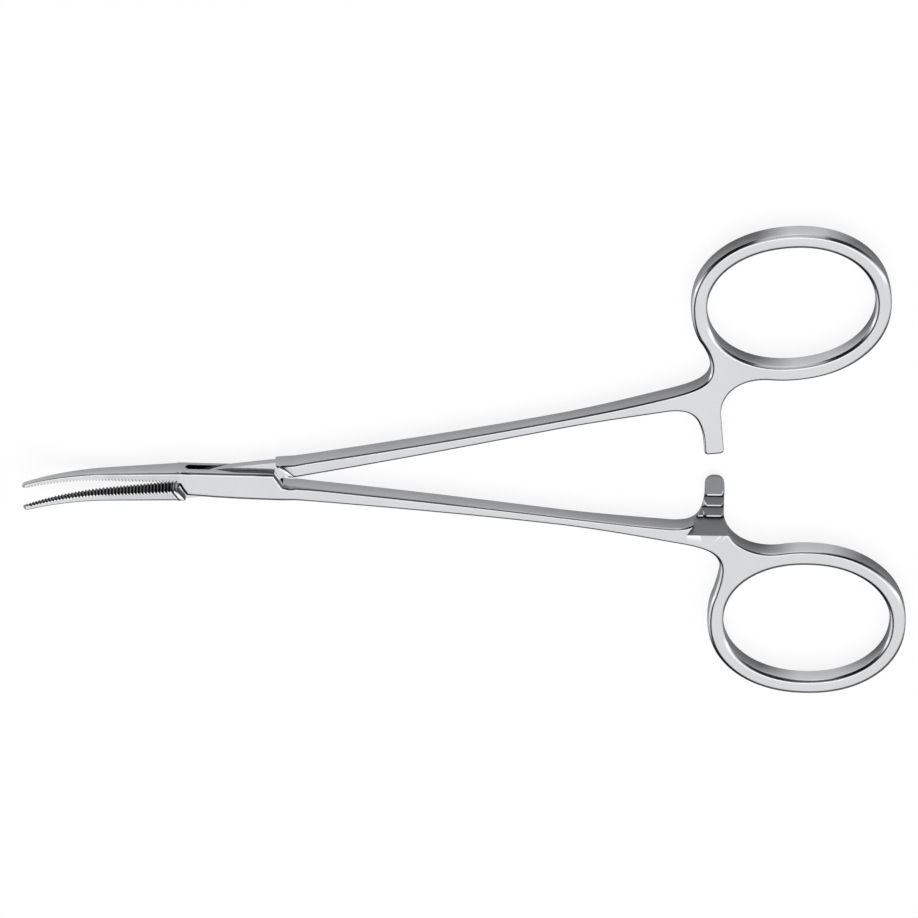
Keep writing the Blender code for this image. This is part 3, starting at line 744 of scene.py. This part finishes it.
def paint_slot_shade_on_tongue(obj):
    """Paints shade on the edge of the tongue, for the shadow of the slot, up to the slanting line where
    it comes out of the slot.
    """
    bm = bmesh.new()
    bm.from_mesh(obj.data)
    edge = []
    for face in bm.faces:
        middle = face.calc_center_median()
        in_slot = -BOX_THICKNESS * 2 < middle.x < BOX_THICKNESS and middle.y > 0
        if in_slot and abs(middle.z) < TONGUE_HALF * 0.99 and face.normal.y > 0.5:
            edge.append(face)
    lines = {line for face in edge for line in face.edges}
    corners = {corner for face in edge for corner in face.verts}
    out = Vector((2 * TONGUE_HALF, 0, TONGUE_EMERGES[1] - TONGUE_EMERGES[0])).normalized()
    middle = Vector(((TONGUE_EMERGES[0] + TONGUE_EMERGES[1]) / 2, 0, 0))
    cut = bmesh.ops.bisect_plane(bm, geom=[*edge, *lines, *corners], plane_co=middle, plane_no=out)
    edge += [item for item in cut["geom"] if isinstance(item, bmesh.types.BMFace)]
    for face in edge:
        if (face.calc_center_median() - middle).dot(out) < 0:
            face.material_index = SHADED
    bm.to_mesh(obj.data)
    bm.free()


def finish_half(obj, shape, bore_radius, place):
    """Breaks the cut edges, bores the pin hole, and moves the mesh to its place."""
    break_rims(obj)
    edge_break = obj.modifiers.new("Edge break", "BEVEL")
    edge_break.width = shape.edge_break
    edge_break.segments = 2
    edge_break.limit_method = "ANGLE"
    edge_break.angle_limit = SHARP_EDGE
    edge_break.use_clamp_overlap = True
    settle(obj)
    combine(obj, [cylinder("bore", bore_radius, BOX_THICKNESS * 2)], "DIFFERENCE")
    obj.data.transform(place)
    obj.data.shade_smooth()
    obj.data.set_sharp_from_angle(angle=SHARP_EDGE)
    weighted = obj.modifiers.new("Weighted normals", "WEIGHTED_NORMAL")
    weighted.keep_sharp = True
    weighted.weight = 50


# Shaders

class Wire:
    """A socket of a node tree that can stand in an expression."""

    def __init__(self, tree, socket):
        self.tree = tree
        self.socket = socket

    def work(self, operation, first, second):
        node = self.tree.nodes.new("ShaderNodeMath")
        node.operation = operation
        feed(self.tree, node.inputs[0], first)
        feed(self.tree, node.inputs[1], second)
        return Wire(self.tree, node.outputs[0])

    def __add__(self, other):
        return self.work("ADD", self, other)

    def __radd__(self, other):
        return self.work("ADD", other, self)

    def __sub__(self, other):
        return self.work("SUBTRACT", self, other)

    def __rsub__(self, other):
        return self.work("SUBTRACT", other, self)

    def __mul__(self, other):
        return self.work("MULTIPLY", self, other)

    def __rmul__(self, other):
        return self.work("MULTIPLY", other, self)

    def __truediv__(self, other):
        return self.work("DIVIDE", self, other)


def feed(tree, entry, value):
    """Links a wire to an entry, or writes a plain value on it."""
    if isinstance(value, Wire):
        tree.links.new(value.socket, entry)
    else:
        entry.default_value = value


def add_node(tree, kind, settings, values, output=0):
    """A node of a type, with its settings first and then the values or links of its sockets."""
    node = tree.nodes.new(kind)
    for name, value in settings.items():
        if name == "stops":
            ramp = node.color_ramp
            while len(ramp.elements) < len(value):
                ramp.elements.new(0.5)
            for element, (position, colour) in zip(ramp.elements, value):
                element.position = position
                element.color = colour
        else:
            setattr(node, name, value)
    for name, value in values.items():
        feed(tree, node.inputs[name], value)
    return Wire(tree, node.outputs[output])


def tone_ramp(tree, place, tones):
    """Grey tones at places from 0 to 1."""
    stops = [(stop, (tone, tone, tone, 1.0)) for stop, tone in tones]
    return add_node(tree, "ShaderNodeValToRGB", {"stops": stops}, {"Fac": place})


# Scale of the grinding marks along and across the forceps, and of the cloudy sheen
MARKS_SCALE = (500, 7000, 7000)
CLOUDS_SCALE = 140.0
CLOUDS_ROUGHNESS = 0.06
MARKS_STRENGTH = 0.06
MARKS_DEPTH = 0.02 * MM


def steel(name, light, dark, roughness, grain, turn):
    """Steel with fine grinding marks along the forceps, and a cloudy sheen from handling."""
    material = bpy.data.materials.new(name)
    material.use_nodes = True
    tree = material.node_tree
    shader = tree.nodes["Principled BSDF"]
    place = add_node(tree, "ShaderNodeTexCoord", {}, {}, "Object")
    along = add_node(tree, "ShaderNodeMapping", {}, {
        "Vector": place, "Rotation": (0, 0, -turn), "Scale": MARKS_SCALE})
    marks = add_node(tree, "ShaderNodeTexNoise", {}, {
        "Vector": along, "Scale": 1.0, "Detail": 3.0, "Roughness": 0.6})
    clouds = add_node(tree, "ShaderNodeTexNoise", {}, {
        "Vector": place, "Scale": CLOUDS_SCALE, "Detail": 3.0, "Roughness": 0.55})
    sheen = add_node(tree, "ShaderNodeMix", {"data_type": "RGBA"}, {
        0: clouds, 6: (*light, 1.0), 7: (*dark, 1.0)}, 2)
    feed(tree, shader.inputs["Base Color"], sheen)
    feed(tree, shader.inputs["Roughness"],
         roughness + (marks - 0.5) * grain + (clouds - 0.5) * CLOUDS_ROUGHNESS)
    shader.inputs["Metallic"].default_value = 1.0
    relief = add_node(tree, "ShaderNodeBump", {}, {
        "Strength": MARKS_STRENGTH, "Distance": MARKS_DEPTH, "Height": marks}, "Normal")
    feed(tree, shader.inputs["Normal"], relief)
    return material


def satin_steel(context, label, turn):
    """The satin finish of the faces and edges."""
    finish = context.scene.forceps_finish
    return steel("Satin steel, " + label, finish.steel, finish.shade, finish.roughness, finish.grain,
                 turn)


def half_steel(context, label, turn):
    """The three materials of a half, in the order of its slots."""
    finish = context.scene.forceps_finish
    return [satin_steel(context, label, turn),
            steel("Machined steel, " + label, finish.cut, finish.cut_shade, finish.cut_roughness,
                  finish.grain, turn),
            # The third is painted shade, for the recesses where shade falls
            steel("Painted shade, " + label, finish.painted_shade, finish.painted_shade, finish.cut_roughness,
                  finish.grain, turn)]


# The camera stands in front, on the +Y side. The steel mirrors the studio in these tones, and the
# camera sees it white
STUDIO_STRENGTH = 1.6
# From the front horizon (0) over the top to the back (1)
OVERHEAD_TONES = ((0.0, 0.5), (0.1, 0.55), (0.21, 0.5), (0.255, 0.1), (0.395, 0.08), (0.43, 0.6),
                  (0.45, 0.95), (0.575, 0.95), (0.6, 0.62), (0.78, 0.6), (0.82, 0.1), (1.0, 0.05))
# From the jaw side (0) over the top to the ring side (1)
ALONG_TONES = ((0.0, 1.0), (0.14, 1.0), (0.18, 0.05), (0.35, 0.05), (0.42, 1.0), (1.0, 1.0))
# Round the front horizon, from the ring side (0) past the middle to the jaw side (1)
AROUND_TONES = ((0.0, 0.55), (0.11, 0.45), (0.2, 0.08), (0.33, 0.1), (0.42, 0.6), (0.5, 1.0),
                (0.58, 0.7), (0.67, 0.45), (0.83, 0.35), (1.0, 0.7))
# Painted reflection: the tones that the steel mirrors of the floor, which the camera sees white, from
# 100 mm left of the middle (0) to 100 mm right of it (1)
PAINTED_REFLECTION_TONES = ((0.19, 0.5), (0.4, 0.5), (0.55, 0.42), (0.65, 0.3), (0.69, 0.1), (0.71, 0.1),
               (0.735, 0.75), (0.76, 0.7), (0.785, 0.1), (0.81, 0.04))
PAINTED_REFLECTION_WIDTH = 0.2
# How much of the floor is its own glow, and not its lit colour: to the camera, and in the steel, where
# the glow carries the painted reflection
FLOOR_SHOWN = 0.88
FLOOR_MIRRORED = 0.75
FLOOR_DROP = 0.05 * MM
KEY_PLACE = (0.0, -0.75, 1.5)
KEY_SIZE = (1.1, 1.1)
CARD_PLACE = (0.048, 0.078, 0.07)
CARD_AIM = (0.048, -0.02, 0.036)
CARD_SIZE = (0.05, 0.1)
PICTURE_MIDDLE = PIN_PLACE + Vector((32.576 * MM, 2.106 * MM, 0.0))


# Operators

def half_place(shape, side, flipped):
    """Where a half stands: turned about the pin, and the box half turned over first."""
    place = Matrix.Translation(PIN_PLACE) @ Matrix.Rotation(side * shape.opening / 2, 4, "Z")
    if flipped:
        place = place @ Matrix.Rotation(math.pi, 4, "X")
    return place


class FORCEPS_OT_tongue_half(bpy.types.Operator):
    """Builds the half whose thin tongue runs through the box"""

    bl_idname = "forceps.tongue_half"
    bl_label = "Tongue half"

    def execute(self, context):
        shape = context.scene.forceps_shape
        loops = [arm_outline(TONGUE_LEFT_CORNER, TONGUE_RIGHT_CORNER, TONGUE_BAR_ROUND,
                             TONGUE_RING_SHIFT, shape.fineness),
                 finger_hole(TONGUE_RING_SHIFT, shape.fineness)]
        half = crowned_plate("satin_tongue_half", loops,
                             half_steel(context, "tongue half", shape.opening / 2))
        combine(half, [jaw("blade", 1, shape)], "UNION")
        # The walls that these cutters leave round the tongue and its shoulders are painted shade
        cutters = [prism("front_space", TONGUE_SHOULDERS, TONGUE_HALF, BOX_THICKNESS, SHADED),
                   prism("back_space", TONGUE_SHOULDERS, -BOX_THICKNESS, -TONGUE_HALF, SHADED)]
        for cutter in cutters:
            for face in cutter.data.polygons:
                # The flat sides of the tongue are ground like the box
                if abs(face.normal.z) > 0.5:
                    face.material_index = SATIN
        combine(half, cutters + shoulder_cutters() + ratchet_cutters(), "DIFFERENCE")
        paint_slot_shade_on_tongue(half)
        finish_half(half, shape, PIN_RADIUS + PIN_RUNNING_GAP, half_place(shape, 1, False))
        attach(half, "tongue_half_body")
        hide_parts("tongue_half")
        return {"FINISHED"}


class FORCEPS_OT_box_half(bpy.types.Operator):
    """Builds the slotted half that holds the tongue"""

    bl_idname = "forceps.box_half"
    bl_label = "Box half"

    def execute(self, context):
        shape = context.scene.forceps_shape
        loops = [arm_outline(BOX_LEFT_CORNER, BOX_RIGHT_CORNER, BOX_BAR_ROUND, BOX_RING_SHIFT,
                             shape.fineness),
                 finger_hole(BOX_RING_SHIFT, shape.fineness)]
        half = crowned_plate("satin_box_half", loops,
                             half_steel(context, "box half", -shape.opening / 2))
        combine(half, [jaw("blade", -1, shape)], "UNION")
        end = cylinder("slot_end", SLOT_HALF - 0.005 * MM, BOX_INNER_EDGE)
        end.data.transform(Matrix.Translation((-SLOT_END, -BOX_INNER_EDGE * 1.2, 0))
                           @ Matrix.Rotation(math.pi / 2, 4, "X"))
        # The slot's rounded end and its walls are painted shade, for the shadow inside the slot
        for face in end.data.polygons:
            face.material_index = SHADED
        cutters = [prism("slot", SLOT_OUTLINE, -SLOT_HALF, SLOT_HALF, SHADED), end]
        combine(half, cutters + ratchet_cutters(), "DIFFERENCE")
        finish_half(half, shape, PIN_RADIUS + PIN_SEAT_GAP, half_place(shape, -1, True))
        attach(half, "box_half_body")
        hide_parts("box_half")
        return {"FINISHED"}


class FORCEPS_OT_pivot_pin(bpy.types.Operator):
    """Turns the rivet pin, ground flush with the box"""

    bl_idname = "forceps.pivot_pin"
    bl_label = "Pivot pin"

    def execute(self, context):
        pin = cylinder("ground_pivot_pin", PIN_RADIUS, BOX_THICKNESS - 2 * PIN_BELOW_FLUSH)
        pin.data.transform(Matrix.Translation(PIN_PLACE))
        pin.data.shade_smooth()
        pin.data.set_sharp_from_angle(angle=math.radians(30))
        pin.data.materials.append(satin_steel(context, "pin", 0.0))
        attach(pin, "box_half_body")
        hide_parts("pivot_pin")
        return {"FINISHED"}


class FORCEPS_OT_studio(bpy.types.Operator):
    """Sets up the white floor, the soft light and the camera"""

    bl_idname = "forceps.studio"
    bl_label = "Studio"

    def execute(self, context):
        studio = context.scene.forceps_studio
        self.lay_floor(studio)
        self.light(context, studio)
        self.place_camera(context, studio)
        context.scene.view_settings.view_transform = "Standard"
        return {"FINISHED"}

    def lay_floor(self, studio):
        """A large white floor just under the forceps, which glows white to the camera and in the
        painted reflection tones to the steel.
        """
        bm = bmesh.new()
        bmesh.ops.create_grid(bm, x_segments=1, y_segments=1, size=2.0)
        bmesh.ops.translate(bm, verts=bm.verts, vec=(0, 0, -FLOOR_DROP))
        floor = add_object("floor", bm)
        material = bpy.data.materials.new("White floor")
        material.use_nodes = True
        tree = material.node_tree
        shader = tree.nodes["Principled BSDF"]
        shader.inputs["Base Color"].default_value = (*studio.floor, 1.0)
        shader.inputs["Roughness"].default_value = 0.9
        shader.inputs["Specular IOR Level"].default_value = 0.0
        place = add_node(tree, "ShaderNodeTexCoord", {}, {}, "Object")
        split = add_node(tree, "ShaderNodeSeparateXYZ", {}, {"Vector": place}, "X")
        # Painted reflection: the floor glows in darker tones for the steel's mirror rays only
        painted_reflection = tone_ramp(tree, split / PAINTED_REFLECTION_WIDTH + 0.5, PAINTED_REFLECTION_TONES)
        path = tree.nodes.new("ShaderNodeLightPath")
        glossy = Wire(tree, path.outputs["Is Glossy Ray"])
        shown = add_node(tree, "ShaderNodeMix", {"data_type": "RGBA"}, {
            0: glossy, 6: (1, 1, 1, 1), 7: painted_reflection}, 2)
        glow = tree.nodes.new("ShaderNodeBsdfPrincipled")
        glow.inputs["Base Color"].default_value = (0, 0, 0, 1)
        glow.inputs["Specular IOR Level"].default_value = 0.0
        glow.inputs["Emission Strength"].default_value = 1.0
        feed(tree, glow.inputs["Emission Color"], shown)
        seen = (Wire(tree, path.outputs["Is Camera Ray"]) * FLOOR_SHOWN + glossy * FLOOR_MIRRORED
                + Wire(tree, path.outputs["Is Transmission Ray"]) * FLOOR_SHOWN)
        blend = add_node(tree, "ShaderNodeMixShader", {}, {
            0: seen, 1: Wire(tree, shader.outputs[0]), 2: Wire(tree, glow.outputs[0])}, "Shader")
        feed(tree, tree.nodes["Material Output"].inputs["Surface"], blend)
        floor.data.materials.append(material)

    def light(self, context, studio):
        """A world that is bright overhead, with dark bands before and behind, a key lamp and a card."""
        world = bpy.data.worlds.new("Studio")
        context.scene.world = world
        world.use_nodes = True
        tree = world.node_tree
        direction = add_node(tree, "ShaderNodeTexCoord", {}, {}, "Generated")
        split = tree.nodes.new("ShaderNodeSeparateXYZ")
        feed(tree, split.inputs[0], direction)
        east, north, up = (Wire(tree, output) for output in split.outputs)
        # Angle over the top of the object, from the front horizon (0) to the back horizon (1)
        over = up.work("ARCTAN2", up, north) / math.pi
        # Angle round the horizon in front, from the ring side (0) to the jaw side (1)
        around = north.work("ARCTAN2", north, east) / math.pi
        behind = north.work("LESS_THAN", north, 0.0)
        front = tone_ramp(tree, around, AROUND_TONES)
        toned = (tone_ramp(tree, over, OVERHEAD_TONES) * (front + behind * (1.0 - front))
                 * tone_ramp(tree, (east + 1.0) / 2.0, ALONG_TONES))
        path = add_node(tree, "ShaderNodeLightPath", {}, {}, "Is Camera Ray")
        shown = add_node(tree, "ShaderNodeMix", {"data_type": "RGBA"}, {
            0: path, 6: toned, 7: (1, 1, 1, 1)}, 2)
        background = tree.nodes["Background"].inputs
        feed(tree, background["Color"], shown)
        feed(tree, background["Strength"], STUDIO_STRENGTH - path * (STUDIO_STRENGTH - 1.0))
        key = self.lamp("key", KEY_PLACE, (0.0, 0.0, 0.0), KEY_SIZE, studio.key_power)
        key.visible_glossy = False
        # A pale card in front of the rings, for them to mirror
        self.lamp("ring_card", CARD_PLACE, CARD_AIM, CARD_SIZE, studio.card_power)

    def lamp(self, name, place, aim, size, power):
        """A soft rectangular lamp that faces its aim."""
        data = bpy.data.lights.new(name, "AREA")
        data.shape = "RECTANGLE"
        data.energy = power
        data.size, data.size_y = size
        lamp = bpy.data.objects.new(name, data)
        lamp.location = place
        lamp.rotation_euler = (Vector(aim) - Vector(place)).to_track_quat("-Z", "Y").to_euler()
        lamp.visible_camera = False
        bpy.context.scene.collection.objects.link(lamp)
        return lamp

    def place_camera(self, context, studio):
        """The camera looks down on the ring plane from in front of the upper ring."""
        data = bpy.data.cameras.new("camera")
        data.sensor_width = 36.0
        data.lens = data.sensor_width * studio.distance / studio.frame_width
        data.clip_end = 20.0
        turn = Matrix.Rotation(studio.turn, 3, "Z")
        tilt = math.pi / 2 - studio.elevation
        right = turn @ Vector((1, 0, 0))
        up = turn @ Vector((0, math.cos(tilt), -math.sin(tilt)))
        back = turn @ Vector((0, math.sin(tilt), math.cos(tilt)))
        pose = Matrix((right, up, back)).transposed().to_4x4()
        camera = bpy.data.objects.new("camera", data)
        camera.matrix_world = Matrix.Translation(PICTURE_MIDDLE + back * studio.distance) @ pose
        context.scene.collection.objects.link(camera)
        context.scene.camera = camera


class FORCEPS_PT_panel(bpy.types.Panel):
    """The buttons in the sidebar"""

    bl_idname = "FORCEPS_PT_panel"
    bl_label = "Mosquito forceps"
    bl_space_type = "VIEW_3D"
    bl_region_type = "UI"
    bl_category = "Forceps"

    def draw(self, context):
        scene = context.scene
        for group in (scene.forceps_shape, scene.forceps_finish, scene.forceps_studio):
            for name in group.__annotations__:
                self.layout.prop(group, name)
        for operator in OPERATORS:
            self.layout.operator(operator.bl_idname)


OPERATORS = (FORCEPS_OT_box_half, FORCEPS_OT_tongue_half, FORCEPS_OT_pivot_pin, FORCEPS_OT_studio)
CLASSES = (ForcepsShape, ForcepsFinish, ForcepsStudio, *OPERATORS, FORCEPS_PT_panel)


def register():
    for item in CLASSES:
        bpy.utils.register_class(item)
    bpy.types.Scene.forceps_shape = bpy.props.PointerProperty(type=ForcepsShape)
    bpy.types.Scene.forceps_finish = bpy.props.PointerProperty(type=ForcepsFinish)
    bpy.types.Scene.forceps_studio = bpy.props.PointerProperty(type=ForcepsStudio)


def unregister():
    del bpy.types.Scene.forceps_studio
    del bpy.types.Scene.forceps_finish
    del bpy.types.Scene.forceps_shape
    for item in reversed(CLASSES):
        bpy.utils.unregister_class(item)


def main():
    register()
    bpy.ops.forceps.box_half()
    bpy.ops.forceps.tongue_half()
    bpy.ops.forceps.pivot_pin()
    bpy.ops.forceps.studio()


if __name__ == "__main__":
    main()
